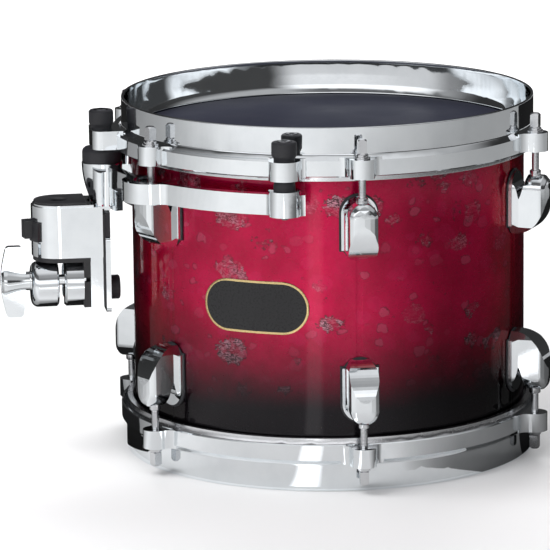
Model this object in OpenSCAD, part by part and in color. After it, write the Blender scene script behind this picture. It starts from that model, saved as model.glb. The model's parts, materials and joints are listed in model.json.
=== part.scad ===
/* [Shell] */
// Outer diameter of the wooden shell, a nominal 12 inch
shell_d = 304.8; // [300:0.2:310]
// Thickness of the shell's plies
shell_t = 6.5; // [5:0.5:8]
// Shell length over its two bearing edges
shell_h = 222; // [210:1:226]
// Total height, from the bottom hoop's edge to the top hoop's edge
drum_h = 277; // [274:1:282]

/* [Hoops] */
// Outer radius of a hoop's upright wall
wall_r = 159.7; // [159:0.1:161]
// Inner radius of a hoop's upright wall
wall_in_r = 155; // [154.6:0.1:156]
// Outer radius of the thick flange under the wall
flange_r = 163.4; // [163:0.1:165]
// Outer radius of the top hoop's flange between its mount ears
mount_flange_r = 167.3; // [166:0.1:168]
// Height of a hoop
hoop_h = 36.7; // [34:0.1:38]
// Height of the flange's flat outer face
flange_h = 12.9; // [11:0.1:14]
// Height of a lug ear
ear_h = 15; // [13:0.1:15.4]
// Radius of a lug ear around its rod
ear_r = 9.7; // [8:0.1:11]

/* [Tension rods] */
// Radius of the circle that the rods stand on
rod_circle_r = 170; // [169:0.5:171]
// Thread diameter of a tension rod
rod_d = 5.5; // [5:0.1:6]
// Side of a rod's square head
rod_head_w = 6.35; // [6:0.05:7]
// Height of a rod's square head
rod_head_h = 10.4; // [8:0.2:12]
// Rods around each hoop
rod_count = 6; // [6]
// Angle between two rods
rod_step = 60; // [60]
// Radial running clearance of every turning piece
run_clear = 0.05; // [0.02:0.01:0.1]

/* [Lugs] */
// Distance from the drum's end to a lug's far end
lug_foot_h = 100.5; // [96:0.5:104]
// Height of a lug casing, foot to rod end
lug_h = 46; // [42:0.5:48]
// Width of a lug casing's nose
lug_w = 21.8; // [20:0.2:24]
// Radius of a lug's outermost point
lug_nose_r = 181.2; // [179:0.2:182]
// Width of the lug's base plate
lug_base_w = 27.2; // [26:0.2:29]
// Width of the rubber gasket under a lug
gasket_w = 29.6; // [28:0.2:32]
// Thickness of the rubber gasket
gasket_t = 1; // [0.8:0.1:1.4]

/* [Badge] */
// Width of the badge around the shell
badge_w = 84; // [70:1:90]
// Height of the badge
badge_h = 40; // [30:1:44]

/* [Suspension mount] */
// Angle from the mount's middle to each end suspension point
span_deg = 71; // [69:0.5:73]
// Radius of the circle that the suspension points stand on
susp_r = 176; // [175:0.5:178]
// Radius of a suspension ear or ring
susp_ear_r = 11.9; // [11:0.1:12.5]
// Height of the arch's arms
arm_h = 15.5; // [14:0.5:17]
// Height of the lower face of the arch's arms
arm_z = 214; // [212:0.5:216]
// Lower face of the arch's middle boss
boss_z = 197; // [196:0.5:198]
// Half width of the arch's middle boss and of the ear above it
boss_half_w = 20; // [19:0.5:21]
// Radius of the outer face of the arch's middle boss
boss_out_r = 184.6; // [184:0.1:185]

/* [Rod clamp] */
// Diameter of the holder rod that the clamp grips
holder_d = 12.7; // [12:0.1:13]
// Distance from the drum's axis to the holder rod
holder_r = 210.5; // [209:0.5:211]
// Half width of the clamp body
body_half_w = 21.4; // [20:0.2:23]
// Top of the chrome clamp body
body_top_z = 198.6; // [197:0.2:200]
// Underside of the clamp body's block
body_low_z = 157.6; // [156:0.2:159]
// Height of the middle of the round jaws
clamp_z = 135.2; // [135:0.1:135.4]
// Height of the clamp screw's axis
screw_z = 139.6; // [139:0.1:139.8]
// Sideways distance from the holder rod to the clamp screw
screw_x = 13; // [12:0.5:14]
// Radius of the round clamp jaws
jaw_r = 17.8; // [17:0.1:18]
// Diameter of the clamp screw
screw_d = 8; // [7:0.5:8]

/* [Hidden] */
$fn = 96;

eps = 0.01;
mid_z = drum_h / 2;
shell_r = shell_d / 2;
shell_in_r = shell_r - shell_t;
mount_deg = -90;                          // the mount's middle, on the -X side
end_degs = [mount_deg + span_deg, mount_deg - span_deg];
susp_degs = [end_degs[0], mount_deg, end_degs[1]];
head_depth = (drum_h - shell_h) / 2;      // from a hoop's edge down to the head
ledge_depth = head_depth + 5;             // from a hoop's edge to its inner ledge
ear_step = 0.6;                           // step from a hoop's inner edge to an ear
ear_top = hoop_h - ear_h;                 // depth of an ear's outer face
washer_h = 1.6;
washer_d = 12.3;
rod_flange_h = 2.6;
rod_flange_d = 9.4;
rod_end_depth = 72;                       // depth that a rod's tip reaches
nut_flange_h = 4.5;
nut_flange_d = 8.8;
nut_body_d = 7.8;
nut_h = 20;
lug_top_depth = lug_foot_h - lug_h;       // depth of the casing's rod end
flesh_in_r = wall_in_r - 0.4;
flesh_out_r = 160.8;
flesh_h = 8;
skirt_r = flesh_out_r + 0.5;              // inside of a hoop's flange
ear_root_r = skirt_r + 1;                 // the ears start inside the flange's thickness
film_t = 0.6;
lug_screw_d = 4.8;
lug_screw_at = [12.5, 35];                // heights above the lug's foot
vent_deg = 150;
badge_deg = -30;
ring_low_z = arm_z + 3.5;                 // lower face of the arch's end rings
ring_high_z = ring_low_z + arm_h;
boss_high_z = boss_z + 31;
bowl_high_z = boss_z + 32;                // rim of the bowl on the middle boss
ear_low_z = drum_h - hoop_h + ear_step;   // hoop ear, in height above the floor
ear_top_z = drum_h - ear_top;
susp_bolt_d = 6;
cap_high_z = 269.4;                       // top of a rubber cap
tab_low_z = boss_z - 3;                   // underside of the back plate's tab

// ---- helpers -------------------------------------------------------------

// Turns a piece built facing -Y to an azimuth, 0 at -Y and 90 at +X.
module radial(deg) { rotate([0, 0, deg]) children(); }

// Depth below the top hoop's edge, or above the bottom hoop's edge.
module at_end(top) {
    if (top) translate([0, 0, drum_h]) mirror([0, 0, 1]) children();
    else children();
}

// Local frame whose +Z points outward, +Y up, and +X sideways.
module facing_out() { rotate([90, 0, 0]) children(); }

// Pin along the outward direction, from one radius to another.
module out_pin(r, from_r, to_r, x = 0, z = 0) {
    facing_out() translate([x, z, from_r]) cylinder(r = r, h = to_r - from_r);
}

// Box given sideways, outward and upward from its two corners.
module out_box(x0, x1, r0, r1, z0, z1) {
    translate([x0, -r1, z0]) cube([x1 - x0, r1 - r0, z1 - z0]);
}

function bez(a, b, c, d, n) = [for (i = [0:n]) let (t = i / n, s = 1 - t)
    s*s*s*a + 3*s*s*t*b + 3*s*t*t*c + t*t*t*d];
function arc(c, r, a0, a1, n) = [for (i = [0:n]) let (a = a0 + (a1 - a0) * i / n)
    c + r * [cos(a), sin(a)]];
function flip(p) = [for (i = [len(p) - 1:-1:0]) [-p[i][0], p[i][1]]];

// Outline of a round lobe that grows out of a ring, with a fillet at each side.
module lobe_plan(ring_r, lobe_r, lobe_at, fillet) {
    far = ring_r + fillet;
    near = lobe_r + fillet;
    fy = (far * far - near * near + lobe_at * lobe_at) / (2 * lobe_at);
    fx = sqrt(far * far - fy * fy);
    difference() {
        union() {
            translate([0, -lobe_at]) circle(r = lobe_r);
            polygon([[-fx, -fy], [-fx * ring_r / far, -fy * ring_r / far + 2],
                [fx * ring_r / far, -fy * ring_r / far + 2], [fx, -fy],
                [fx * lobe_r / near, -lobe_at - (fy - lobe_at) * lobe_r / near],
                [-fx * lobe_r / near, -lobe_at - (fy - lobe_at) * lobe_r / near]]);
        }
        for (s = [-1, 1]) translate([s * fx, -fy]) circle(r = fillet);
    }
}

// Flat part of a ring between two azimuths less than 180 degrees apart.
module sector_plan(r0, r1, a0, a1) {
    steps = 6;
    reach = 1.2 * r1;
    intersection() {
        difference() { circle(r = r1, $fn = 180); circle(r = r0, $fn = 180); }
        polygon(concat([[0, 0]], [for (i = [0:steps]) let (a = a0 + (a1 - a0) * i / steps)
            reach * [sin(a), -cos(a)]]));
    }
}

// ---- shell and heads -----------------------------------------------------

module shell() {
    top = drum_h - head_depth;
    color("crimson") difference() {
        rotate_extrude($fn = 180) polygon([
            [shell_in_r, head_depth + 3.5], [shell_r - 3.5, head_depth],
            [shell_r - 2.6, head_depth], [shell_r - 0.9, head_depth + 0.9],
            [shell_r, head_depth + 3.4], [shell_r, top - 3.4],
            [shell_r - 0.9, top - 0.9], [shell_r - 2.6, top],
            [shell_r - 3.5, top], [shell_in_r, top - 3.5]]);
        for (top = [true, false]) for (i = [0:rod_count - 1]) at_end(top) radial(i * rod_step)
            for (h = lug_screw_at)
                out_pin(lug_screw_d / 2 + 0.2, shell_in_r - 4, shell_r + 4, 0, lug_foot_h - h);
        radial(vent_deg) out_pin(6, shell_in_r - 4, shell_r + 4, 0, mid_z);
    }
}

module vent_grommet() {
    color("silver") radial(vent_deg) facing_out() translate([0, mid_z, 0])
        rotate_extrude() polygon(concat(
            [[4, shell_in_r - 1.6], [7.6, shell_in_r - 1.6], [7.6, shell_in_r - 0.5],
             [5.95, shell_in_r - 0.5], [5.95, shell_r], [8.6, shell_r]],
            arc([7.2, shell_r + 0.4], 1.4, 0, 90, 6), arc([5.2, shell_r + 0.6], 1.2, 90, 180, 6)));
}

// A long round-ended plate, bent to the shell, with a raised border.
module badge_outline(w, h) {
    square([w - h, h], center = true);
    for (s = [-1, 1]) translate([s * (w - h) / 2, 0]) circle(d = h);
}

module badge_plate() {
    border = 1.6;
    color("black") radial(badge_deg) difference() {
        facing_out() translate([0, mid_z, 0]) {
            translate([0, 0, 130]) linear_extrude(30) badge_outline(badge_w, badge_h);
        }
        translate([0, 0, mid_z]) cylinder(r = shell_r, h = 60, center = true, $fn = 180);
        difference() {
            translate([0, 0, mid_z]) cylinder(r = 200, h = 60, center = true);
            translate([0, 0, mid_z])
                cylinder(r = shell_r + 0.9, h = 70, center = true, $fn = 180);
        }
        difference() {
            facing_out() translate([0, mid_z, 130]) linear_extrude(40)
                badge_outline(badge_w - 2 * border, badge_h - 2 * border);
            translate([0, 0, mid_z])
                cylinder(r = shell_r + 0.6, h = 70, center = true, $fn = 180);
        }
    }
}

module film(top) {
    color(top ? "darkslategray" : "gainsboro") at_end(top) rotate_extrude($fn = 180) polygon([
        [0, head_depth], [shell_r - 2.3, head_depth], [shell_r - 0.1, head_depth + 1.4],
        [shell_r + 0.5, head_depth + 3.3], [flesh_in_r, ledge_depth + 3],
        [flesh_in_r, ledge_depth + 1.6], [shell_r + 1.1, head_depth + 3],
        [shell_r + 0.4, head_depth + 1], [shell_r - 2.1, head_depth - film_t],
        [0, head_depth - film_t]]);
}
module batter_film() { film(true); }
module resonant_film() { film(false); }

module flesh_hoop(top) {
    color("silver") at_end(top) rotate_extrude($fn = 180) polygon([
        [flesh_in_r, ledge_depth], [flesh_out_r, ledge_depth],
        [flesh_out_r, ledge_depth + 2.4], [flesh_out_r - 2.2, ledge_depth + 3.4],
        [flesh_out_r - 2.2, ledge_depth + flesh_h], [flesh_in_r, ledge_depth + flesh_h]]);
}
module batter_flesh_hoop() { flesh_hoop(true); }
module resonant_flesh_hoop() { flesh_hoop(false); }

// ---- hoops ---------------------------------------------------------------

module hoop_ring() {
    edge_in_r = wall_in_r + 2.3;   // the wall's inner face flares outward to its edge
    lip = (wall_r - edge_in_r) / 3;
    rib_r = wall_in_r - 2.2;       // rib just above the head
    rotate_extrude($fn = 180) polygon(concat(
        arc([edge_in_r + lip, lip], lip, 180, 270, 8),
        arc([wall_r - lip, lip], lip, 270, 360, 8),
        [[wall_r, hoop_h - flange_h - 4.2], [wall_r + 0.5, hoop_h - flange_h - 2.6],
         [flange_r - 1.4, hoop_h - flange_h - 0.8], [flange_r, hoop_h - flange_h + 0.6],
         [flange_r, hoop_h - 0.8], [flange_r - 0.8, hoop_h], [skirt_r, hoop_h],
         [skirt_r, ledge_depth], [wall_in_r, ledge_depth], [wall_in_r, head_depth + 0.4],
         [rib_r, head_depth - 0.8], [rib_r, head_depth - 1.8],
         [wall_in_r - 0.4, head_depth - 4.8], [wall_in_r - 0.1, head_depth - 8],
         [edge_in_r - 1.1, head_depth - 15], [edge_in_r, head_depth - 23.5]]));
}

// Block outline with rounded outer corners, wide side outward.
module boss_plan(half_w, in_r, out_r, corner) {
    translate([-half_w, -out_r + corner]) square([2 * half_w, out_r - corner - in_r]);
    translate([-half_w + corner, -out_r]) square([2 * (half_w - corner), corner + eps]);
    for (s = [-1, 1]) translate([s * (half_w - corner), -out_r + corner]) circle(r = corner);
}

// Thick part of the top hoop's flange, between the mount's end ears.
module mount_flange() {
    intersection() {
        rotate_extrude($fn = 180) polygon([
            [ear_root_r, hoop_h - flange_h - 0.4], [mount_flange_r - 1.4, hoop_h - flange_h - 0.4],
            [mount_flange_r, hoop_h - flange_h + 1], [mount_flange_r, hoop_h - 0.8],
            [mount_flange_r - 0.8, hoop_h], [ear_root_r, hoop_h]]);
        linear_extrude(hoop_h + 1) sector_plan(ear_root_r - 1, mount_flange_r + 5,
            end_degs[1], end_degs[0]);
    }
}

// Six lug ears and, on the top hoop, the three mount ears, seen from above.
module ears_plan(top) {
    difference() {
        union() {
            for (i = [0:rod_count - 1])
                radial(i * rod_step) lobe_plan(flange_r - 0.2, ear_r, rod_circle_r, 7);
            if (top) {
                for (a = end_degs) radial(a)
                    lobe_plan(mount_flange_r - 0.2, susp_ear_r, susp_r, 3.5);
                radial(mount_deg) boss_plan(boss_half_w, ear_root_r - 3, boss_out_r, 8);
            }
        }
        circle(r = ear_root_r, $fn = 180);
    }
}

// The die-cast hoop: ring, six lug ears and, on the top one, three mount ears.
module hoop(top) {
    color("lightgray") at_end(top) difference() {
        union() {
            hoop_ring();
            translate([0, 0, ear_top]) linear_extrude(ear_h - ear_step) ears_plan(top);
            if (top) mount_flange();
        }
        for (i = [0:rod_count - 1]) radial(i * rod_step) translate([0, -rod_circle_r, 0])
            cylinder(d = rod_d + 1, h = hoop_h + 1);
        if (top) for (a = susp_degs) radial(a) translate([0, -susp_r, 0])
            cylinder(d = 12, h = hoop_h + 1);
    }
}
module top_hoop() { hoop(true); }
module bottom_hoop() { hoop(false); }

// ---- lugs and tension rods -------------------------------------------------

// Half of the casing's outline seen from its end: sideways, then outward.
lug_half = [[lug_w / 2 + 1.6, 155], [lug_w / 2 + 0.2, 160], [lug_w / 2, lug_nose_r - 4.8],
    [lug_w / 2 - 0.5, lug_nose_r - 3.4], [lug_w / 2 - 2.7, lug_nose_r - 1.2],
    [lug_w / 2 - 3.4, lug_nose_r - 0.8], [lug_w / 2 - 6.6, lug_nose_r - 0.25],
    [0, lug_nose_r]];

// Outline of a lug's base, seen from the front: a round rod end above, square
// shoulders below, and a rounded hump between them at the foot.
module bullet_plan(w, foot, shoulder, h) {
    hump_r = w / 2 - 1;
    translate([-w / 2, shoulder]) square([w, h - w / 2 - shoulder]);
    translate([0, h - w / 2]) circle(d = w);
    translate([0, foot + hump_r]) circle(r = hump_r);
}

// Side outline of the casing: outward, then up from the foot.
function lug_side() = concat(
    bez([157, 0.4], [172, 1.2], [181, 15], [lug_nose_r + 0.05, 31], 18),
    [[lug_nose_r + 0.05, 36]],
    bez([lug_nose_r + 0.05, 36], [181.2, 40], [180.3, 43.5], [177.6, lug_h], 6),
    bez([165.4, lug_h], [164.8, lug_h - 5], [162.6, lug_h - 14], [160.4, lug_h - 18], 8),
    bez([160, lug_h - 18], [159, lug_h - 15], [158.4, lug_h - 8], [155.6, lug_h - 7], 8),
    [[145, lug_h - 7], [145, 0.4]]);

module lug_casing() {
    centre = lug_h - lug_w / 2;
    half = concat([[0, 145]], [[lug_half[0][0], 145]], lug_half);
    intersection() {
        union() {
            translate([0, centre, 0]) rotate_extrude() polygon(half);
            translate([0, centre, 0]) rotate([90, 0, 0]) linear_extrude(centre)
                polygon(concat(half, flip(half)));
        }
        rotate([0, -90, 0]) translate([0, 0, -20]) linear_extrude(40) polygon(lug_side());
        translate([0, 0, 140]) linear_extrude(50) polygon([[-7.4, 0], [7.4, 0], [lug_w / 2 + 2, 9],
            [lug_w / 2 + 2, lug_h + 1], [-lug_w / 2 - 2, lug_h + 1], [-lug_w / 2 - 2, 9]]);
    }
}

// One lug, foot at height 0 and rod end up, at its real distance from the axis.
module lug_shape() {
    difference() {
        facing_out() {
            lug_casing();
            translate([0, 0, 145]) linear_extrude(10.4) bullet_plan(lug_base_w, 0.4, 7, lug_h + 2);
        }
        translate([0, 0, -10]) cylinder(r = shell_r + gasket_t, h = 70, $fn = 180);
        translate([0, -rod_circle_r, lug_h - nut_h]) cylinder(d = nut_body_d + 0.2, h = 30);
        translate([0, -rod_circle_r, lug_h - 1]) cylinder(d = nut_flange_d + 0.6, h = 4);
        translate([0, -rod_circle_r, 22]) cylinder(d = rod_d + 1, h = 20);
        for (h = lug_screw_at) out_pin(lug_screw_d / 2 + 0.1, 150, 163.2, 0, h);
    }
}

module lug(top, i) {
    color("silver") at_end(top) radial(i * rod_step) translate([0, 0, lug_foot_h])
        mirror([0, 0, 1]) lug_shape();
}

module lug_gaskets() {
    color("black") for (top = [true, false]) for (i = [0:rod_count - 1])
        at_end(top) radial(i * rod_step) intersection() {
            translate([0, 0, lug_foot_h]) mirror([0, 0, 1]) facing_out()
                translate([0, 0, 140]) linear_extrude(20)
                    bullet_plan(gasket_w, -0.9, 5.8, lug_h + 3.6);
            difference() {
                cylinder(r = shell_r + gasket_t, h = mid_z, $fn = 180);
                cylinder(r = shell_r, h = mid_z, $fn = 180);
                for (h = lug_screw_at)
                    out_pin(lug_screw_d / 2 + 0.2, 140, 170, 0, lug_foot_h - h);
            }
        }
}

// Swivel nuts: a flange outside each lug and a threaded barrel inside it.
module swivel_nuts() {
    flange_at = lug_top_depth - nut_flange_h + 1;
    color("silver") for (top = [true, false]) for (i = [0:rod_count - 1])
        at_end(top) radial(i * rod_step) translate([0, -rod_circle_r, flange_at])
            rotate_extrude() polygon([
                [rod_d / 2 + run_clear, 0], [nut_flange_d / 2 - 0.8, 0],
                [nut_flange_d / 2, 0.8], [nut_flange_d / 2, nut_flange_h],
                [nut_body_d / 2, nut_flange_h], [nut_body_d / 2, nut_h],
                [rod_d / 2 + run_clear, nut_h]]);
}

module lug_screws() {
    head_r = shell_in_r - 1.1;
    color("dimgray") for (top = [true, false]) for (i = [0:rod_count - 1]) for (h = lug_screw_at)
        at_end(top) radial(i * rod_step) facing_out() translate([0, lug_foot_h - h, 0])
            rotate_extrude($fn = 48) polygon(concat(
                [[0, head_r - 2]], arc([3.2, head_r - 1.8], 1.4, 270, 360, 4),
                [[4.6, head_r], [lug_screw_d / 2, head_r], [lug_screw_d / 2, 162.6],
                 [0, 162.6]]));
}

module lug_screw_washers() {
    color("gray") for (top = [true, false]) for (i = [0:rod_count - 1]) for (h = lug_screw_at)
        at_end(top) radial(i * rod_step) difference() {
            out_pin(6, shell_in_r - 3, shell_in_r + 3, 0, lug_foot_h - h);
            out_pin(lug_screw_d / 2 + 0.1, shell_in_r - 4, shell_in_r + 4, 0, lug_foot_h - h);
            difference() {
                cylinder(r = shell_in_r + 9, h = mid_z);
                cylinder(r = shell_in_r, h = mid_z, $fn = 180);
            }
            cylinder(r = shell_in_r - 1, h = mid_z, $fn = 180);
        }
}

module rod_washers() {
    color("silver") for (top = [true, false]) for (i = [0:rod_count - 1])
        at_end(top) radial(i * rod_step) translate([0, -rod_circle_r, ear_top - washer_h])
            rotate_extrude($fn = 48) polygon([
                [rod_d / 2 + run_clear, 0], [washer_d / 2 - 0.3, 0], [washer_d / 2, 0.3],
                [washer_d / 2, washer_h], [rod_d / 2 + run_clear, washer_h]]);
}

// Square-headed rod: head, dished flange, plain neck and threaded length.
module tension_rod(top, i) {
    flange_at = ear_top - washer_h - rod_flange_h;
    color("silver") at_end(top) radial(i * rod_step) translate([0, -rod_circle_r, 0]) {
        intersection() {
            translate([0, 0, flange_at - rod_head_h / 2])
                cube([rod_head_w, rod_head_w, rod_head_h + eps], center = true);
            translate([0, 0, flange_at - rod_head_h]) rotate_extrude($fn = 48) polygon([
                [0, 0], [2.7, 0], [4.6, 1.6], [4.6, rod_head_h + 1], [0, rod_head_h + 1]]);
        }
        rotate_extrude($fn = 48) polygon([
            [0, flange_at - eps], [3.4, flange_at - eps], [rod_flange_d / 2, flange_at + 1.2],
            [rod_flange_d / 2, flange_at + rod_flange_h], [rod_d / 2, flange_at + rod_flange_h],
            [rod_d / 2, rod_end_depth - 1.2], [rod_d / 2 - 1, rod_end_depth], [0, rod_end_depth]]);
    }
}

// ---- suspension mount --------------------------------------------------------

arm_in_r = 168.5;
arm_out_r = 176;
bump_r = 22;
bump_at = 170;
bump_cut_r = 14.8;
bump_cut_at = 168.2;

module arch_plan() {
    difference() {
        union() {
            sector_plan(arm_in_r, arm_out_r, end_degs[1], end_degs[0]);
            for (a = end_degs) radial(a) lobe_plan(arm_out_r, susp_ear_r, susp_r, 4);
            for (a = [-60, -120]) radial(a) lobe_plan(arm_out_r, bump_r, bump_at, 9);
        }
        for (a = [-60, -120]) radial(a) {
            translate([0, -bump_cut_at]) circle(r = bump_cut_r);
            translate([-bump_cut_r, -bump_cut_at]) square([2 * bump_cut_r, 40]);
        }
    }
}

// Solid under the bowl's outer contour, about a suspension point.
module bowl_solid() {
    rotate_extrude() polygon(concat([[0, boss_z]],
        bez([9, boss_z], [12, boss_z + 9], [14.6, boss_z + 16], [15.4, boss_z + 25], 8),
        [[15.8, bowl_high_z - 0.4], [15.4, bowl_high_z], [0, bowl_high_z]]));
}

// Upright grooves between the boss and the arms.
groove_r = 4.5;
groove_x = boss_half_w + 3.5;
groove_at = 175.9;

// The cast arch: two arms that pass around a lug each, two end rings and the
// middle boss, which carries a bowl for the middle isolator.
module mount_arch() {
    color("lightgray") difference() {
        union() {
            translate([0, 0, arm_z]) linear_extrude(arm_h) arch_plan();
            for (a = end_degs) radial(a) translate([0, -susp_r, ring_low_z])
                cylinder(r = susp_ear_r, h = arm_h);
            radial(mount_deg) {
                difference() {
                    translate([0, 0, boss_z]) linear_extrude(boss_high_z - boss_z)
                        boss_plan(boss_half_w, 163, boss_out_r, 7);
                    for (s = [0, 1]) mirror([s, 0, 0]) translate([11, -180, boss_high_z])
                        rotate([0, 28, 0]) translate([0, -30, 0]) cube([30, 60, 20]);
                }
                translate([0, -susp_r, 0]) bowl_solid();
            }
            translate([0, 0, boss_z]) linear_extrude(boss_high_z - boss_z - 4)
                sector_plan(arm_in_r, arm_out_r - 1, mount_deg - 13, mount_deg + 13);
        }
        for (a = susp_degs) radial(a) translate([0, -susp_r, boss_z - 1])
            cylinder(d = susp_bolt_d + 0.2, h = 60);
        for (a = end_degs) radial(a) translate([0, -susp_r, arm_z - 1])
            cylinder(r = 6.9, h = ring_low_z - arm_z + 1);
        for (a = end_degs) radial(a) translate([0, -susp_r, ring_high_z])
            cylinder(r = susp_ear_r + 1, h = 10);
        radial(mount_deg) {
            translate([0, -susp_r, boss_high_z - 3]) cylinder(r = 13.8, h = 30);
            for (s = [-1, 1]) translate([s * groove_x, -groove_at, boss_z - 1])
                cylinder(r = groove_r, h = 40);
        }
    }
}

// Rubber caps clamp each hoop ear from above.
module suspension_caps() {
    color([0.12, 0.12, 0.13]) for (a = susp_degs) radial(a) translate([0, -susp_r, 0])
        rotate_extrude() polygon(concat(
            [[susp_bolt_d / 2 + 0.1, 248.4], [5.9, 248.4], [5.9, ear_top_z], [7.9, ear_top_z],
             [7.9, ear_top_z + 1.6], [9.5, ear_top_z + 4]],
            arc([7.7, cap_high_z - 1.8], 1.8, 0, 90, 6),
            [[5.6, cap_high_z], [5.6, cap_high_z - 3.4], [susp_bolt_d / 2 + 0.1, cap_high_z - 3.4]]));
}

// Rubber sleeves hold the arch off the hoop ears, the middle one sits in the bowl.
module suspension_sleeves() {
    color([0.12, 0.12, 0.13]) for (a = susp_degs) {
        middle = a == mount_deg;
        low = middle ? boss_high_z - 3 : ring_high_z;
        low_r = middle ? 13.7 : 8.2;
        high_r = middle ? 15.2 : 8.2;
        step = middle ? bowl_high_z + 0.6 : ring_high_z + 1;
        radial(a) translate([0, -susp_r, 0]) rotate_extrude() polygon([
            [susp_bolt_d / 2 + 0.1, low], [low_r, low], [low_r, step], [high_r, step],
            [high_r, drum_h - hoop_h - 3.5], [high_r - 0.5, drum_h - hoop_h - 1.5],
            [high_r - 2, drum_h - hoop_h - 0.1], [8, drum_h - hoop_h - 0.1], [7.8, ear_low_z],
            [5.9, ear_low_z], [5.9, 248.3], [susp_bolt_d / 2 + 0.1, 248.3]]);
    }
}

module suspension_bolts() {
    color("dimgray") for (a = susp_degs) {
        tip = (a == mount_deg ? tab_low_z : ring_low_z) - 6.5;
        radial(a) translate([0, -susp_r, 0]) difference() {
            rotate_extrude($fn = 48) polygon([
                [0, tip], [2.4, tip], [3, tip + 0.8], [3, cap_high_z - 3.4], [5, cap_high_z - 3.4],
                [5, cap_high_z], [4.4, cap_high_z + 0.6], [0, cap_high_z + 0.6]]);
            translate([0, 0, cap_high_z - 2.4]) cylinder(r = 2.9, h = 5, $fn = 6);
        }
    }
}

module suspension_nuts() {
    color("silver") for (a = susp_degs) {
        seat = a == mount_deg ? tab_low_z : ring_low_z;
        radial(a) translate([0, -susp_r, seat - 5]) difference() {
            cylinder(r = 5.7, h = 5, $fn = 6);
            translate([0, 0, -1]) cylinder(d = susp_bolt_d, h = 8);
        }
    }
}

// ---- rod clamp bracket ---------------------------------------------------------

plate_in_r = 172.4;
plate_out_r = 176.2;
body_in_r = 178.3;
leg_out_r = 188;
plate_low_z = 113.5;
neck_z = 173;
liner_z = 154;
bumper_z = 129.5;
plate_screw_at = [[-12, 150], [12, 150], [-9, 167], [9, 167]];

module rounded_rect(w, h, r) {
    square([w - 2 * r, h], center = true);
    square([w, h - 2 * r], center = true);
    for (x = [-1, 1]) for (y = [-1, 1]) translate([x * (w / 2 - r), y * (h / 2 - r)])
        circle(r = r);
}

// Plate behind the clamp: a wide lower part, a narrow neck and a tab on top,
// which the middle suspension bolt clamps under the arch's boss.
module back_plate() {
    h = neck_z - plate_low_z;
    color("silver") radial(mount_deg) difference() {
        union() {
            facing_out() translate([0, plate_low_z + h / 2, plate_in_r])
                linear_extrude(plate_out_r - plate_in_r) rounded_rect(40, h, 4);
            out_box(-14, 14, plate_in_r, plate_out_r, neck_z - 5, boss_z);
            out_box(-14, 14, 166, 186, tab_low_z, boss_z);
        }
        out_box(-8, 8, plate_in_r - 1, plate_out_r + 1, 184, tab_low_z);
        translate([0, -susp_r, tab_low_z - 1]) cylinder(d = susp_bolt_d + 0.2, h = 5);
        for (at = plate_screw_at) {
            out_pin(2.2, 160, 190, at[0], at[1]);
            screw_head(at, 0.1);
        }
        out_pin(3, 160, 190, 0, bumper_z);
    }
}

// Countersunk head, flush with the plate's inner face.
module screw_head(at, clear) {
    facing_out() translate([at[0], at[1], plate_in_r])
        cylinder(r1 = 3.9 + clear, r2 = 1.9 + clear, h = 2);
}

module plate_bumper() {
    color([0.1, 0.1, 0.1]) radial(mount_deg) {
        facing_out() translate([0, bumper_z, 0])
            rotate_extrude() polygon([
                [0, 164.2], [8.4, 164.2], [9.4, 165.2], [9.4, plate_in_r], [3, plate_in_r],
                [3, plate_out_r], [0, plate_out_r]]);
        for (x = [-19, 14.1]) out_box(x, x + 4.9, plate_in_r, plate_out_r, neck_z + 0.1, 192);
    }
}

module plate_screws() {
    color("dimgray") radial(mount_deg) for (at = plate_screw_at) {
        out_pin(2, plate_in_r, body_in_r + 7, at[0], at[1]);
        screw_head(at, 0);
    }
}

module block_plan(half_w, in_r, clear = 0) {
    translate([0, -holder_r]) circle(r = half_w - clear);
    translate([-half_w + clear, -holder_r]) square([2 * (half_w - clear), holder_r - in_r]);
}

// Cast body: the block around the holder rod and the leg behind the jaws.
module clamp_body() {
    bevel = 1.6;
    color("lightgray") radial(mount_deg) difference() {
        union() {
            translate([0, 0, body_low_z]) linear_extrude(body_top_z - body_low_z - bevel)
                block_plan(body_half_w, body_in_r);
            translate([0, 0, body_top_z - bevel - eps]) linear_extrude(bevel + eps)
                block_plan(body_half_w - 1.3, body_in_r);
            out_box(-18.5, 18.5, body_in_r, leg_out_r, 117.5, body_low_z + eps);
        }
        translate([0, -holder_r, 150]) cylinder(d = 24, h = 60);
        translate([0, -susp_r, boss_z - 20]) cylinder(r = 12.5, h = 30);
        out_box(-boss_half_w - 0.3, boss_half_w + 0.3, body_in_r - 1, boss_out_r + 0.3,
                boss_z - 0.1, body_top_z + 1);
        out_box(-14.2, 14.2, body_in_r - 1, 186.2, tab_low_z - 0.2, body_top_z + 1);
        for (at = plate_screw_at) out_pin(2, body_in_r - 1, body_in_r + 7.2, at[0], at[1]);
        key_place(key_turn) key_stem(0.1);
        key_place(key_base_turn) key_base(0.1);
    }
}

module rod_bushing() {
    color([0.1, 0.1, 0.1]) radial(mount_deg) difference() {
        union() {
            translate([0, 0, body_top_z]) linear_extrude(2)
                block_plan(body_half_w - 2.2, 190);
            translate([0, -holder_r, body_low_z]) cylinder(d = 24, h = body_top_z - body_low_z + eps);
        }
        translate([0, -holder_r, body_low_z - 1]) cylinder(d = holder_d + 0.2, h = 60);
        translate([0, -holder_r, body_top_z + 0.6])
            rotate_extrude() polygon([[0, 0], [6.3, 0], [8.4, 1.5], [8.4, 3], [0, 3]]);
    }
}

// The memory lock's key: a flat base on the block's corner and a tab.
key_turn = 11;
key_base_turn = 28;
module key_place(turn) {
    translate([0, -holder_r, 179]) rotate([0, 0, turn]) children();
}
module key_stem(clear) {
    translate([-5 - clear, -26, -7 - clear]) cube([10 + 2 * clear, 8 + clear, 14 + 2 * clear]);
}
module key_base(clear) {
    translate([-5.6 - clear, -23.4, -9 - clear])
        cube([12 + 2 * clear, 3.2 + clear, 15 + 2 * clear]);
}

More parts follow.
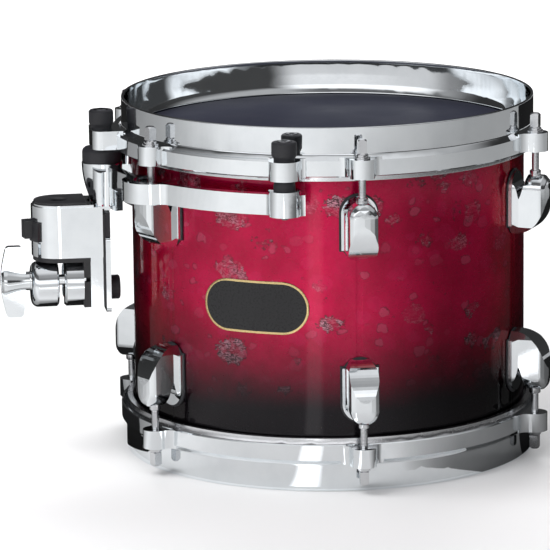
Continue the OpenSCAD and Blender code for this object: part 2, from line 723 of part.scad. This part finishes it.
module memory_key() {
    color([0.12, 0.12, 0.12]) radial(mount_deg) {
        difference() {
            key_place(key_turn) translate([-5, -28.5, -7]) cube([10, 10.5, 14]);
            translate([0, -holder_r, 170]) cylinder(r = 18.5, h = 20);
        }
        key_place(key_base_turn) key_base(0);
    }
}

// Black liner: behind the leg, under the block and behind the fixed jaw.
module clamp_liner() {
    color([0.13, 0.13, 0.14]) radial(mount_deg) {
        difference() {
            out_box(-17.8, 17.8, plate_out_r, body_in_r, 118.2, 191);
            for (at = plate_screw_at) out_pin(2.1, plate_out_r - 1, body_in_r + 1, at[0], at[1]);
            translate([0, -susp_r, 180]) cylinder(r = 7, h = 20);
        }
        difference() {
            union() {
                translate([0, 0, liner_z]) linear_extrude(body_low_z - liner_z)
                    block_plan(body_half_w - 1, leg_out_r);
                out_box(-17.5, 17.5, leg_out_r, fixed_in_r, 117.8, liner_z + eps);
            }
            translate([0, -holder_r, liner_z - 1]) cylinder(d = holder_d + 0.6, h = 8);
            out_pin(screw_d / 2 + 0.8, leg_out_r - 1, 196, screw_x, screw_z);
        }
    }
}

jaw_x = 5;
fixed_in_r = 193.4;
fixed_out_r = 208.2;
moving_in_r = 212.5;
moving_out_r = 233.6;

// Both jaws are round about the clamp screw's direction and hollowed by the rod.
module jaw(profile) {
    difference() {
        facing_out() translate([jaw_x, clamp_z, 0]) rotate_extrude() polygon(profile);
        translate([0, -holder_r, 100]) cylinder(d = holder_d, h = 60);
    }
}

module fixed_jaw() {
    color("silver") radial(mount_deg) difference() {
        jaw([[0, fixed_in_r], [jaw_r, fixed_in_r], [jaw_r, fixed_out_r - 1.6],
            [jaw_r - 1.6, fixed_out_r], [0, fixed_out_r]]);
        out_pin(screw_d / 2 + 0.4, fixed_in_r - 1, fixed_out_r + 1, screw_x, screw_z);
        facing_out() translate([screw_x, screw_z, fixed_in_r - 1])
            cylinder(r = 7, h = 6.5, $fn = 6);
    }
}

module clamp_nut() {
    color("dimgray") radial(mount_deg) facing_out() translate([screw_x, screw_z, fixed_in_r + 0.1])
        difference() {
            cylinder(r = 6.8, h = 5, $fn = 6);
            translate([0, 0, -1]) cylinder(r = screw_d / 2 + run_clear, h = 8);
        }
}

module moving_jaw() {
    round_r = 5.5;
    color("silver") radial(mount_deg) difference() {
        jaw(concat([[0, moving_in_r], [jaw_r - 1.6, moving_in_r], [jaw_r, moving_in_r + 1.6]],
            arc([jaw_r - round_r, moving_out_r - round_r], round_r, 0, 90, 10),
            [[0, moving_out_r]]));
        out_pin(screw_d / 2 + run_clear, moving_in_r - 1, moving_out_r + 1, screw_x, screw_z);
    }
}

// Outline of the two wings: outward, then up from the screw's axis.
function wing_half() = concat(
    bez([238, 6], [238.5, 12], [238.9, 19], [240.3, 25.6], 8),
    arc([243, 24.9], 2.8, 160, 90, 4), arc([250.6, 24.7], 3, 90, 20, 4),
    bez([253.8, 24.2], [256, 15], [257.3, 8], [257.4, 0], 8));

module wing_bolt() {
    half = wing_half();
    low = [for (i = [len(half) - 2:-1:0]) [half[i][0], -half[i][1]]];
    color("silver") radial(mount_deg) facing_out() translate([screw_x, screw_z, 0]) {
        rotate_extrude() polygon(concat(
            [[0, 191], [screw_d / 2 - 0.8, 191], [screw_d / 2, 191.8],
             [screw_d / 2, moving_out_r], [7.6, moving_out_r], [7.6, moving_out_r + 1],
             [7.2, moving_out_r + 1.6]],
            bez([7.2, 238.5], [7.3, 243], [8.4, 247], [10, 253], 6),
            [[10, 255.2], [8.4, 256.8], [0, 257.2]]));
        rotate([0, -90, 0]) translate([0, 0, -3.3]) linear_extrude(6.6)
            polygon(concat(half, low));
    }
}

shell();
vent_grommet();
badge_plate();
top_hoop();
bottom_hoop();
batter_film();
batter_flesh_hoop();
resonant_film();
resonant_flesh_hoop();
for (i = [1:6]) {
    lug(true, i - 1);
    lug(false, i - 1);
    tension_rod(true, i - 1);
    tension_rod(false, i - 1);
}
lug_gaskets();
swivel_nuts();
lug_screws();
lug_screw_washers();
rod_washers();
mount_arch();
suspension_caps();
suspension_sleeves();
suspension_bolts();
suspension_nuts();
back_plate();
plate_bumper();
plate_screws();
clamp_body();
rod_bushing();
memory_key();
clamp_liner();
fixed_jaw();
moving_jaw();
wing_bolt();
clamp_nut();
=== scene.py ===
import json
import math

import bmesh
import bpy
from mathutils import Matrix, Vector


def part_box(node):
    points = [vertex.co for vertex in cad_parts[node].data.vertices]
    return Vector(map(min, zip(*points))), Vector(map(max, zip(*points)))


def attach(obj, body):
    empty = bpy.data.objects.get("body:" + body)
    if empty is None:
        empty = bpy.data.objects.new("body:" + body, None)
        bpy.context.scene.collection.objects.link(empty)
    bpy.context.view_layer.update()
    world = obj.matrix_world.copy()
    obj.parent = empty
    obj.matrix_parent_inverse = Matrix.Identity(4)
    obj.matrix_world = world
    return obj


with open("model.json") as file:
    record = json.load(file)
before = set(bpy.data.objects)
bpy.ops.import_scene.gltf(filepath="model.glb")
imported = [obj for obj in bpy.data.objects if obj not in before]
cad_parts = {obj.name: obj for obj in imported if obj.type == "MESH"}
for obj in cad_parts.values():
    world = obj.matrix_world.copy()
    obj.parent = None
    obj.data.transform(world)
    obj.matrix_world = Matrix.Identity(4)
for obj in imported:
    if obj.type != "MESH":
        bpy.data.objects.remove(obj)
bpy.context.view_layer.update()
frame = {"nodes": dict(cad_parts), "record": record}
nodes = frame["nodes"]
MM = 0.001


# ---- sizes taken from the frame, in metres ----------------------------------

shell_lo, shell_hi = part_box("shell")
SHELL_R = (shell_hi[0] - shell_lo[0]) / 2
DRUM_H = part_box("top_hoop")[1][2]
MID_Z = DRUM_H / 2
BADGE_FACE_R = SHELL_R + 0.00075      # between the badge's enamel and its raised border


def centre(node):
    """Middle of a node's box."""
    lo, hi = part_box(node)
    return Vector([(a + b) / 2 for a, b in zip(lo, hi)])


# ---- node material helpers -----------------------------------------------------


class Graph:
    """Builds one material's nodes."""

    def __init__(self, name):
        self.mat = bpy.data.materials.new(name)
        self.mat.use_nodes = True
        self.tree = self.mat.node_tree
        self.bsdf = self.tree.nodes["Principled BSDF"]

    def add(self, kind, **settings):
        node = self.tree.nodes.new(kind)
        for key, value in settings.items():
            setattr(node, key, value)
        return node

    def link(self, out, target):
        self.tree.links.new(out, target)

    def put(self, target, value):
        """Links a socket, or sets a plain number or colour."""
        if isinstance(value, bpy.types.NodeSocket):
            self.link(value, target)
        elif value is not None:
            target.default_value = value

    def set(self, **values):
        """Sets the shader's own sockets."""
        for key, value in values.items():
            self.put(self.bsdf.inputs[key.replace("_", " ")], value)

    def math(self, op, a, b=None):
        node = self.add("ShaderNodeMath", operation=op)
        self.put(node.inputs[0], a)
        self.put(node.inputs[1], b)
        return node.outputs[0]

    def span(self, value, lo, hi, out_lo=0.0, out_hi=1.0):
        """Smooth step of a value between two limits."""
        node = self.add("ShaderNodeMapRange", interpolation_type="SMOOTHSTEP")
        self.put(node.inputs["Value"], value)
        self.put(node.inputs["From Min"], lo)
        self.put(node.inputs["From Max"], hi)
        self.put(node.inputs["To Min"], out_lo)
        self.put(node.inputs["To Max"], out_hi)
        return node.outputs["Result"]

    def mix(self, factor, a, b):
        node = self.add("ShaderNodeMix", data_type="RGBA")
        self.put(node.inputs[0], factor)
        self.put(node.inputs[6], a)
        self.put(node.inputs[7], b)
        return node.outputs[2]

    def coords(self, scale=(1, 1, 1), shift=(0, 0, 0)):
        place = self.add("ShaderNodeMapping")
        place.inputs["Scale"].default_value = scale
        place.inputs["Location"].default_value = shift
        self.link(self.add("ShaderNodeTexCoord").outputs["Object"], place.inputs["Vector"])
        return place.outputs["Vector"]

    def noise(self, scale, detail=3.0, rough=0.5, vector=None, distortion=0.0):
        node = self.add("ShaderNodeTexNoise")
        node.inputs["Scale"].default_value = scale
        node.inputs["Detail"].default_value = detail
        node.inputs["Roughness"].default_value = rough
        node.inputs["Distortion"].default_value = distortion
        self.put(node.inputs["Vector"], vector or self.coords())
        return node

    def bump(self, height, depth, strength):
        node = self.add("ShaderNodeBump")
        node.inputs["Strength"].default_value = strength
        node.inputs["Distance"].default_value = depth
        self.put(node.inputs["Height"], height)
        return node.outputs["Normal"]

    def split(self, vector):
        node = self.add("ShaderNodeSeparateXYZ")
        self.link(vector, node.inputs[0])
        return node.outputs


# Heights where the lacquer is fully black and fully red, and how far below the drum's top edge the
# painted shade under the upper hoop starts and ends.
FADE_LOW = 0.064
FADE_HIGH = 0.152
TOP_SHADE_HIGH = 0.026
TOP_SHADE_LOW = 0.056

LACQUER_RED = (0.58, 0.004, 0.064, 1)
LACQUER_DEEP = (0.40, 0.002, 0.040, 1)
LACQUER_FLECK = (0.24, 0.003, 0.022, 1)
# Painted shade: the near-black red that the lacquer darkens towards just under the upper hoop.
LACQUER_PAINTED_SHADE = (0.06, 0.002, 0.008, 1)
LACQUER_BLACK = (0.007, 0.006, 0.008, 1)
LACQUER_GLOW = (0.70, 0.030, 0.14, 1)
BARK_SOFT = (0.58, 0.11, 0.19, 1)
BARK_PALE = (0.60, 0.27, 0.34, 1)
BARK_DARK = (0.035, 0.024, 0.026, 1)
BARK_RIM = (0.060, 0.014, 0.022, 1)


def chrome(name, tint=(0.84, 0.87, 0.89), rough=0.035, smear=0.02):
    """Mirror plating with faint polishing haze and a soft casting ripple."""
    g = Graph(name)
    haze = g.noise(55, 4, 0.6).outputs["Fac"]
    wear = g.noise(420, 2, 0.5).outputs["Fac"]
    g.set(Metallic=1.0)
    g.set(Base_Color=g.mix(g.span(haze, 0.35, 0.75), (*tint, 1),
                           (tint[0] * 0.94, tint[1] * 0.945, tint[2] * 0.95, 1)))
    level = g.math("MULTIPLY_ADD", haze, smear)
    level.node.inputs[2].default_value = rough
    g.set(Roughness=level)
    g.set(Normal=g.bump(g.math("ADD", haze, g.math("MULTIPLY", wear, 0.05)), 0.00012, 0.25))
    return g.mat


def steel(name, tint, rough, grain=900):
    """Plated steel with a fine grain."""
    g = Graph(name)
    fine = g.noise(grain, 3, 0.6).outputs["Fac"]
    patch = g.noise(70, 3, 0.5).outputs["Fac"]
    g.set(Metallic=1.0)
    g.set(Base_Color=g.mix(patch, (*tint, 1), tuple(c * 0.8 for c in tint) + (1,)))
    g.set(Roughness=g.span(fine, 0.2, 0.8, rough * 0.75, rough * 1.3))
    g.set(Normal=g.bump(fine, 0.00004, 0.4))
    return g.mat


def moulded(name, tint, rough, grain=1500, depth=0.00004):
    """Moulded rubber or nylon: fine tooth, uneven gloss and a little dust."""
    g = Graph(name)
    tooth = g.noise(grain, 2, 0.6).outputs["Fac"]
    patch = g.noise(45, 4, 0.6).outputs["Fac"]
    g.set(Base_Color=g.mix(g.span(patch, 0.35, 0.75), (*tint, 1),
                           tuple(min(1, c * 1.5 + 0.004) for c in tint) + (1,)))
    g.set(Roughness=g.span(patch, 0.3, 0.7, rough * 0.85, rough * 1.15))
    g.set(Normal=g.bump(tooth, depth, 0.6))
    return g.mat


def lacquer():
    """Crimson lacquer that fades to black below, over a scattered bark figure, with painted shade
    under the upper hoop.
    """
    g = Graph("shell_lacquer")
    vector = g.coords()
    height = g.split(vector)[2]

    warp = g.noise(75, 3, 0.55, vector)
    shift = g.add("ShaderNodeVectorMath", operation="MULTIPLY_ADD")
    g.link(warp.outputs["Color"], shift.inputs[0])
    shift.inputs[1].default_value = (0.010,) * 3
    g.link(vector, shift.inputs[2])
    squash = g.add("ShaderNodeVectorMath", operation="MULTIPLY")
    g.link(shift.outputs[0], squash.inputs[0])
    squash.inputs[1].default_value = (1, 1, 1.25)
    edge_noise = g.noise(300, 4, 0.65, vector).outputs["Fac"]

    def blotches(scale, size_lo, size_hi, share, ragged_by):
        """Scattered ovals: how much each point is inside one, and its rim."""
        cell = g.add("ShaderNodeTexVoronoi")
        cell.inputs["Scale"].default_value = scale
        g.link(squash.outputs[0], cell.inputs["Vector"])
        pick = g.add("ShaderNodeSeparateColor")
        g.link(cell.outputs["Color"], pick.inputs[0])
        size = g.span(pick.outputs[0], 0, 1, size_lo, size_hi)
        gap = g.math("SUBTRACT", size, cell.outputs["Distance"])
        ragged = g.math("MULTIPLY_ADD", g.math("SUBTRACT", edge_noise, 0.5), ragged_by)
        g.link(gap, ragged.node.inputs[2])
        shown = g.math("MULTIPLY", g.math("GREATER_THAN", pick.outputs[1], 1 - share),
                       g.span(pick.outputs[2], 0.1, 0.8, 0.3, 1.0))
        inside = g.math("MULTIPLY", g.span(ragged, 0.0, 0.05), shown)
        rim = g.math("MULTIPLY", g.math("SUBTRACT", g.span(ragged, -0.03, 0.01),
                                        g.span(ragged, 0.03, 0.07)), shown)
        return inside, rim

    figured, figured_rim = blotches(36, 0.20, 0.50, 0.50, 0.50)
    plain, plain_rim = blotches(74, 0.16, 0.46, 0.60, 0.16)
    glow, _ = blotches(52, 0.25, 0.60, 0.70, 0.10)

    streak = g.noise(210, 5, 0.75, g.coords((1, 1, 2.4)), 2.2).outputs["Fac"]
    mottle = g.noise(22, 5, 0.6, vector).outputs["Fac"]
    fine = g.noise(260, 4, 0.7, g.coords((1, 1, 0.4))).outputs["Fac"]

    red = g.mix(g.span(mottle, 0.30, 0.68), LACQUER_DEEP, LACQUER_RED)
    red = g.mix(g.math("MULTIPLY", g.span(fine, 0.45, 0.8), 0.12), red, LACQUER_FLECK)
    red = g.mix(g.math("MULTIPLY", glow, 0.16), red, LACQUER_GLOW)
    red = g.mix(g.math("MULTIPLY", plain, 0.40), red, BARK_SOFT)
    thin_rim = g.math("MULTIPLY", plain_rim, g.span(edge_noise, 0.35, 0.60, 0.0, 0.55))
    red = g.mix(thin_rim, red, BARK_RIM)
    scar = g.mix(g.span(streak, 0.44, 0.54), BARK_PALE, BARK_DARK)
    patchy = g.span(g.noise(95, 3, 0.6, vector).outputs["Fac"], 0.40, 0.56, 0.25, 0.95)
    red = g.mix(g.math("MULTIPLY", figured, patchy), red, scar)
    thick_rim = g.math("MULTIPLY", figured_rim, g.span(edge_noise, 0.40, 0.62, 0.0, 0.8))
    red = g.mix(thick_rim, red, BARK_RIM)

    blur = g.math("MULTIPLY_ADD", mottle, 0.014)
    g.link(height, blur.node.inputs[2])
    fade = g.span(blur, FADE_LOW, FADE_HIGH)
    colour = g.mix(fade, LACQUER_BLACK, red)
    # Painted shade under the upper hoop: the lacquer darkens partway to a near-black red towards
    # the drum's top edge.
    painted_top_shade = g.span(height, DRUM_H - TOP_SHADE_HIGH, DRUM_H - TOP_SHADE_LOW, 0.35, 1.0)
    colour = g.mix(painted_top_shade, LACQUER_PAINTED_SHADE, colour)

    g.set(Base_Color=colour)
    g.set(Roughness=g.span(streak, 0.3, 0.7, 0.26, 0.34))
    g.bsdf.inputs["Metallic"].default_value = 0.92
    g.bsdf.inputs["Specular Tint"].default_value = (0.30, 0.10, 0.12, 1)
    g.bsdf.inputs["Coat Weight"].default_value = 0.5
    g.bsdf.inputs["Coat Roughness"].default_value = 0.04
    g.bsdf.inputs["Coat IOR"].default_value = 1.45
    relief = g.math("ADD", plain, g.math("MULTIPLY", streak, 0.3))
    g.set(Normal=g.bump(relief, 0.00015, 0.3))
    return g.mat


def film(name, tint, alpha=1.0, rough=0.35, gloss=0.5):
    """Drum film: a faint drawn grain and slightly uneven sheen."""
    g = Graph(name)
    grain = g.noise(900, 2, 0.6).outputs["Fac"]
    cloud = g.noise(14, 4, 0.5).outputs["Fac"]
    g.set(Base_Color=g.mix(cloud, (*tint, 1), tuple(c * 1.25 for c in tint) + (1,)))
    g.set(Roughness=g.span(cloud, 0.3, 0.7, rough * 0.85, rough * 1.1))
    g.set(Normal=g.bump(grain, 0.00002, 0.3))
    g.bsdf.inputs["Alpha"].default_value = alpha
    g.bsdf.inputs["Specular IOR Level"].default_value = gloss
    return g.mat


def badge_enamel():
    """Black enamel inside, gold plating on the raised border."""
    g = Graph("badge_enamel")
    grain = g.noise(600, 3, 0.6).outputs["Fac"]
    x, y, _ = g.split(g.coords())
    out = g.math("SQRT", g.math("ADD", g.math("MULTIPLY", x, x), g.math("MULTIPLY", y, y)))
    raised = g.span(out, BADGE_FACE_R - 0.00002, BADGE_FACE_R + 0.00002)
    gold = g.mix(grain, (0.66, 0.50, 0.22, 1), (0.78, 0.62, 0.32, 1))
    enamel = g.mix(grain, (0.012, 0.012, 0.013, 1), (0.02, 0.02, 0.021, 1))
    g.set(Base_Color=g.mix(raised, enamel, gold))
    g.set(Metallic=raised)
    g.set(Roughness=g.span(grain, 0.2, 0.8, 0.24, 0.34))
    g.bsdf.inputs["Specular IOR Level"].default_value = 0.3
    return g.mat


MATERIALS = {
    "lacquered_shell": lacquer(),
    "chrome_casting": chrome("chrome_plating"),
    "plated_steel": steel("bright_steel", (0.72, 0.73, 0.75), 0.16),
    "dark_steel": steel("dark_steel", (0.22, 0.22, 0.235), 0.28),
    "batter_film": film("batter_film_grey", (0.021, 0.0225, 0.035), 1.0, 0.5, 0.11),
    "resonant_film": film("resonant_film_clear", (0.60, 0.62, 0.64), 0.5, 0.12),
    "flesh_hoop": steel("rolled_aluminium", (0.74, 0.75, 0.77), 0.22, 500),
    "black_rubber": moulded("black_rubber", (0.014, 0.014, 0.017), 0.55),
    "black_plastic": moulded("black_nylon", (0.016, 0.016, 0.018), 0.38),
    "badge": badge_enamel(),
}


# ---- CAD nodes that keep their shape ----------------------------------------------

LUG_BEVEL = 1.8                       # widths of the rounded edges, in millimetres
BEVELS = {
    "top_hoop": 0.7, "bottom_hoop": 0.7, "mount_arch": 1.2, "clamp_body": 1.0, "back_plate": 0.6,
    "fixed_jaw": 0.5, "moving_jaw": 0.5, "wing_bolt": 1.3, "memory_key": 0.9, "rod_bushing": 0.4,
    "clamp_liner": 0.4, "suspension_nuts": 0.3,
}


def soften(obj, width_mm):
    """Rounds a CAD node's sharp edges and smooths its curved faces, in modifiers only."""
    weld = obj.modifiers.new("weld", "WELD")
    weld.merge_threshold = 0.00001
    if width_mm:
        bevel = obj.modifiers.new("bevel", "BEVEL")
        bevel.width = width_mm * MM
        bevel.segments = 3
        bevel.limit_method = "ANGLE"
        bevel.angle_limit = math.radians(32)
        bevel.use_clamp_overlap = True
        bevel.harden_normals = False
    smooth = obj.modifiers.new("normals", "WEIGHTED_NORMAL")
    smooth.keep_sharp = True


slots = {s["node"]: s["material_slot"] for s in frame["record"]["subparts"]}
for name, obj in nodes.items():
    obj.data.materials.clear()
    obj.data.materials.append(MATERIALS[slots[name]])
    soften(obj, BEVELS.get(name, LUG_BEVEL if "_lug_" in name else 0.0))


# ---- threads on the exposed part of each rod ------------------------------------------

THREAD_PITCH = 1.06 * MM
THREAD_ROOT = 2.70 * MM               # just inside the rod's surface
THREAD_CREST = 2.93 * MM
THREAD_STEPS = 20                     # steps in one turn
THREAD_GAP = 0.3 * MM                 # from the thread's end to the nut or the ear


def thread(name, axis, low, high):
    """Helical ridge with pointed ends around a rod that stands on its axis point."""
    count = int((high - low) / THREAD_PITCH * THREAD_STEPS)
    build = bmesh.new()
    before = first = None
    for i in range(count + 1):
        a = 2 * math.pi * i / THREAD_STEPS
        end = min(1, i / THREAD_STEPS, (count - i) / THREAD_STEPS)
        half = 0.42 * THREAD_PITCH * max(end, 0.05)
        crest = THREAD_ROOT + (THREAD_CREST - THREAD_ROOT) * max(end, 0.05)
        z = low + i * THREAD_PITCH / THREAD_STEPS
        row = [build.verts.new((axis.x + r * math.cos(a), axis.y + r * math.sin(a), z + lift))
               for r, lift in ((THREAD_ROOT, -half), (crest, 0), (THREAD_ROOT, half))]
        if before:
            for j in range(3):
                k = (j + 1) % 3
                build.faces.new((before[j], row[j], row[k], before[k]))
        first = first or row
        before = row
    build.faces.new(first)
    build.faces.new(before[::-1])
    bmesh.ops.recalc_face_normals(build, faces=build.faces)
    mesh = bpy.data.meshes.new(name)
    build.to_mesh(mesh)
    build.free()
    for face in mesh.polygons:
        face.use_smooth = True
    ridge = bpy.data.objects.new(name, mesh)
    bpy.context.collection.objects.link(ridge)
    ridge.data.materials.append(MATERIALS["plated_steel"])
    return ridge


def add_threads():
    """One ridge for each rod, from the nut in its lug to the underside of its ear."""
    nut_lo, nut_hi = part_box("swivel_nuts")
    spans = {"top": (nut_hi[2] + THREAD_GAP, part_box("top_hoop")[0][2] - THREAD_GAP),
             "bottom": (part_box("bottom_hoop")[1][2] + THREAD_GAP, nut_lo[2] - THREAD_GAP)}
    for name in nodes:
        if "_rod_" in name:
            low, high = spans[name.split("_")[0]]
            ridge = thread(name + "_thread", centre(name), low, high)
            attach(ridge, name)


add_threads()


# ---- stage, light and camera --------------------------------------------------------


def stage_floor():
    """Wide pale floor under the drum."""
    mesh = bpy.data.meshes.new("floor")
    build = bmesh.new()
    bmesh.ops.create_circle(build, cap_ends=True, segments=96, radius=14.0)
    build.to_mesh(mesh)
    build.free()
    floor = bpy.data.objects.new("floor", mesh)
    bpy.context.collection.objects.link(floor)
    g = Graph("floor_white")
    g.set(Base_Color=g.mix(g.noise(3, 2, 0.5).outputs["Fac"], (0.88, 0.88, 0.885, 1),
                           (0.91, 0.91, 0.915, 1)))
    g.set(Roughness=0.7)
    floor.data.materials.append(g.mat)


# Tones that the plating and the lacquer see on the floor. A card is a fan around a point: marks are
# azimuth, tone, and how far the rings' factors count there. Rings are distance and factor.
FRONT_MARKS = [(-90, 0.72, 0), (60, 0.72, 0)]
FRONT_RINGS = [(0.165, 1.0), (2.6, 1.0)]
LEFT_MARKS = [(-200, 0.01, 0), (-142, 0.01, 0), (-141.9, 0.20, 0), (-112, 0.30, 0), (-90, 0.44, 0),
              (-55, 0.72, 0)]
LEFT_RINGS = [(0.004, 1.0), (2.6, 1.0)]
RIGHT_MARKS = [(6, 0.72, 0), (25, 0.58, 0.35), (48, 0.44, 0.8), (73, 0.31, 1), (94, 0.27, 1),
               (124.5, 0.22, 1), (124.6, 0.01, 0), (165, 0.01, 0)]
RIGHT_RINGS = [(0.05, 0.65), (0.16, 0.65), (0.34, 0.36), (1.06, 0.36), (1.20, 1.4), (2.6, 1.4)]
STRIP_MARKS = [(-20.5, 0.0, 0), (-18.5, 1.0, 0), (-13.5, 1.0, 0), (-11, 0.0, 0)]
STRIP_RINGS = [(0.165, 0.15), (0.33, 0.3), (0.50, 1.0), (1.35, 1.0)]


def tone_card(name, middle, marks, rings, height, glow=False):
    """Graded card on the floor that only shiny surfaces see."""
    mesh = bpy.data.meshes.new(name)
    build = bmesh.new()
    shade = build.verts.layers.float.new("tone")
    for (start, low, mild), (end, high, full) in zip(marks, marks[1:]):
        count = max(1, round((end - start) / 4))
        before = None
        for i in range(count + 1):
            part = i / count
            a = math.radians(start + (end - start) * part)
            row = []
            for far, factor in rings:
                spot = (middle[0] + far * math.sin(a), middle[1] - far * math.cos(a), height)
                row.append(build.verts.new(spot))
                effect = mild + (full - mild) * part
                row[-1][shade] = (low + (high - low) * part) * factor ** effect
            if before:
                for j in range(len(rings) - 1):
                    build.faces.new((before[j], before[j + 1], row[j + 1], row[j]))
            before = row
    build.to_mesh(mesh)
    build.free()
    card = bpy.data.objects.new(name, mesh)
    bpy.context.collection.objects.link(card)
    g = Graph(name)
    tone = g.add("ShaderNodeAttribute", attribute_name="tone").outputs["Fac"]
    shown = g.add("ShaderNodeCombineColor")
    for channel in shown.inputs[:3]:
        g.link(tone, channel)
    if glow:
        g.set(Base_Color=(0.72, 0.72, 0.725, 1), Emission_Color=shown.outputs[0],
              Emission_Strength=1.0)
    else:
        g.set(Base_Color=shown.outputs[0])
    g.set(Roughness=0.9)
    g.bsdf.inputs["Specular IOR Level"].default_value = 0.0
    card.data.materials.append(g.mat)
    card.visible_camera = card.visible_diffuse = card.visible_shadow = False


def soft_box(name, place, size, power, aim=(0, 0, 0.14)):
    """Rectangular panel light that neither the camera nor the plating sees."""
    light = bpy.data.lights.new(name, "AREA")
    light.shape = "RECTANGLE"
    light.size, light.size_y = size
    light.energy = power
    obj = bpy.data.objects.new(name, light)
    bpy.context.collection.objects.link(obj)
    obj.location = place
    obj.rotation_euler = (Vector(aim) - Vector(place)).to_track_quat("-Z", "Y").to_euler()
    obj.visible_camera = obj.visible_glossy = False


# Brightness of the surroundings against height: 0.5 is level, 1 is overhead.
WORLD_KEY = [(0.0, 0.7), (0.50, 0.66), (0.56, 0.7), (0.60, 1.3), (0.72, 1.4), (0.76, 0.15),
             (0.88, 0.15), (0.96, 0.8), (1.0, 0.8)]
WORLD_LEFT = [(0.0, 0.7), (0.51, 0.28), (0.70, 0.35), (0.76, 0.08), (0.88, 0.08), (0.96, 0.8),
              (1.0, 0.8)]
WORLD_RIGHT = [(0.0, 0.1), (0.51, 0.06), (0.64, 0.06), (0.72, 0.45), (0.90, 0.45), (0.96, 0.8),
               (1.0, 0.8)]
WORLD_BACK = [(0.0, 0.1), (0.51, 0.04), (0.80, 0.03), (0.88, 0.3), (1.0, 0.8)]
KEY_SIDE = (-0.5, -0.866, 0.0)        # where the surroundings are brightest, seen from the drum


def studio_world():
    """Pale surroundings with dark bands, so that the plating has something to mirror."""
    world = bpy.data.worlds.new("studio")
    bpy.context.scene.world = world
    world.use_nodes = True
    tree = world.node_tree
    back = tree.nodes["Background"]
    coords = tree.nodes.new("ShaderNodeTexCoord")
    parts = tree.nodes.new("ShaderNodeSeparateXYZ")
    tree.links.new(coords.outputs["Generated"], parts.inputs[0])

    level = tree.nodes.new("ShaderNodeMapRange")
    tree.links.new(parts.outputs[2], level.inputs["Value"])
    level.inputs["From Min"].default_value = -1.0

    def bands(marks):
        ramp = tree.nodes.new("ShaderNodeValToRGB")
        tree.links.new(level.outputs["Result"], ramp.inputs[0])
        while len(ramp.color_ramp.elements) < len(marks):
            ramp.color_ramp.elements.new(0.5)
        for element, (at, tone) in zip(ramp.color_ramp.elements, marks):
            element.position = at
            element.color = (tone, tone, tone * 1.015, 1)
        return ramp.outputs[0]

    def blend(source, lo, hi, a, b):
        step = tree.nodes.new("ShaderNodeMapRange")
        step.interpolation_type = "SMOOTHSTEP"
        tree.links.new(source, step.inputs["Value"])
        step.inputs["From Min"].default_value = lo
        step.inputs["From Max"].default_value = hi
        mix = tree.nodes.new("ShaderNodeMix")
        mix.data_type = "RGBA"
        tree.links.new(step.outputs["Result"], mix.inputs[0])
        for socket, value in ((mix.inputs[6], a), (mix.inputs[7], b)):
            if isinstance(value, tuple):
                socket.default_value = value
            else:
                tree.links.new(value, socket)
        return mix.outputs[2]

    facing = tree.nodes.new("ShaderNodeVectorMath")
    facing.operation = "DOT_PRODUCT"
    tree.links.new(coords.outputs["Generated"], facing.inputs[0])
    facing.inputs[1].default_value = KEY_SIDE
    sides = blend(parts.outputs[0], -0.4, 0.3, bands(WORLD_LEFT), bands(WORLD_RIGHT))
    sides = blend(parts.outputs[1], -0.1, 0.4, sides, bands(WORLD_BACK))
    sky = blend(facing.outputs["Value"], 0.55, 0.80, sides, bands(WORLD_KEY))
    tree.links.new(sky, back.inputs[0])
    back.inputs[1].default_value = 1.0


CAMERA_TURN = math.radians(-8.6)      # azimuth of the camera, from -Y towards +X
CAMERA_RISE = math.radians(12.0)
CAMERA_PAN = math.radians(-0.75)
CAMERA_TILT = math.radians(-0.11)
CAMERA_ROLL = math.radians(-0.49)
CAMERA_FAR = 3.194
CAMERA_LENS = 267.4


def turn(a, b, angle):
    """Turns the pair of unit vectors a and b towards each other's place."""
    c, s = math.cos(angle), math.sin(angle)
    return a * c + b * s, b * c - a * s


def make_camera():
    """Long lens a little above the upper hoop, turned and tilted slightly off the drum's middle."""
    rise = CAMERA_RISE
    ahead = Vector((0, math.cos(rise), -math.sin(rise)))
    right = Vector((1, 0, 0))
    up = right.cross(ahead)
    spot = -ahead * CAMERA_FAR
    ahead, right = turn(ahead, right, CAMERA_PAN)
    ahead, up = turn(ahead, up, CAMERA_TILT)
    right, up = turn(right, up, CAMERA_ROLL)
    pose = Matrix((right, up, -ahead)).transposed().to_4x4()
    pose.translation = spot
    camera = bpy.data.objects.new("camera", bpy.data.cameras.new("camera"))
    bpy.context.collection.objects.link(camera)
    camera.matrix_world = (Matrix.Translation((0, 0, MID_Z))
                           @ Matrix.Rotation(CAMERA_TURN, 4, "Z") @ pose)
    camera.data.lens = CAMERA_LENS
    camera.data.sensor_width = 36.0
    camera.data.clip_end = 60.0
    bpy.context.scene.camera = camera


make_camera()
stage_floor()
studio_world()
tone_card("card_front", (0, 0), FRONT_MARKS, FRONT_RINGS, 0.0005)
tone_card("card_left", (-0.175, -0.035), LEFT_MARKS, LEFT_RINGS, 0.001)
tone_card("card_right", (0.05, -0.14), RIGHT_MARKS, RIGHT_RINGS, 0.001)
tone_card("card_strip", (0, 0), STRIP_MARKS, STRIP_RINGS, 0.002, glow=True)
soft_box("key_panel", (-1.1, -2.6, 1.3), (0.8, 1.3), 16)
soft_box("top_panel", (-1.3, -0.4, 2.4), (1.5, 1.5), 44, (-0.6, -0.3, 0))
soft_box("back_panel", (0.3, 2.7, 2.3), (2.6, 1.5), 100, (0.1, 1.9, 0))
bpy.context.scene.view_settings.view_transform = "Standard"
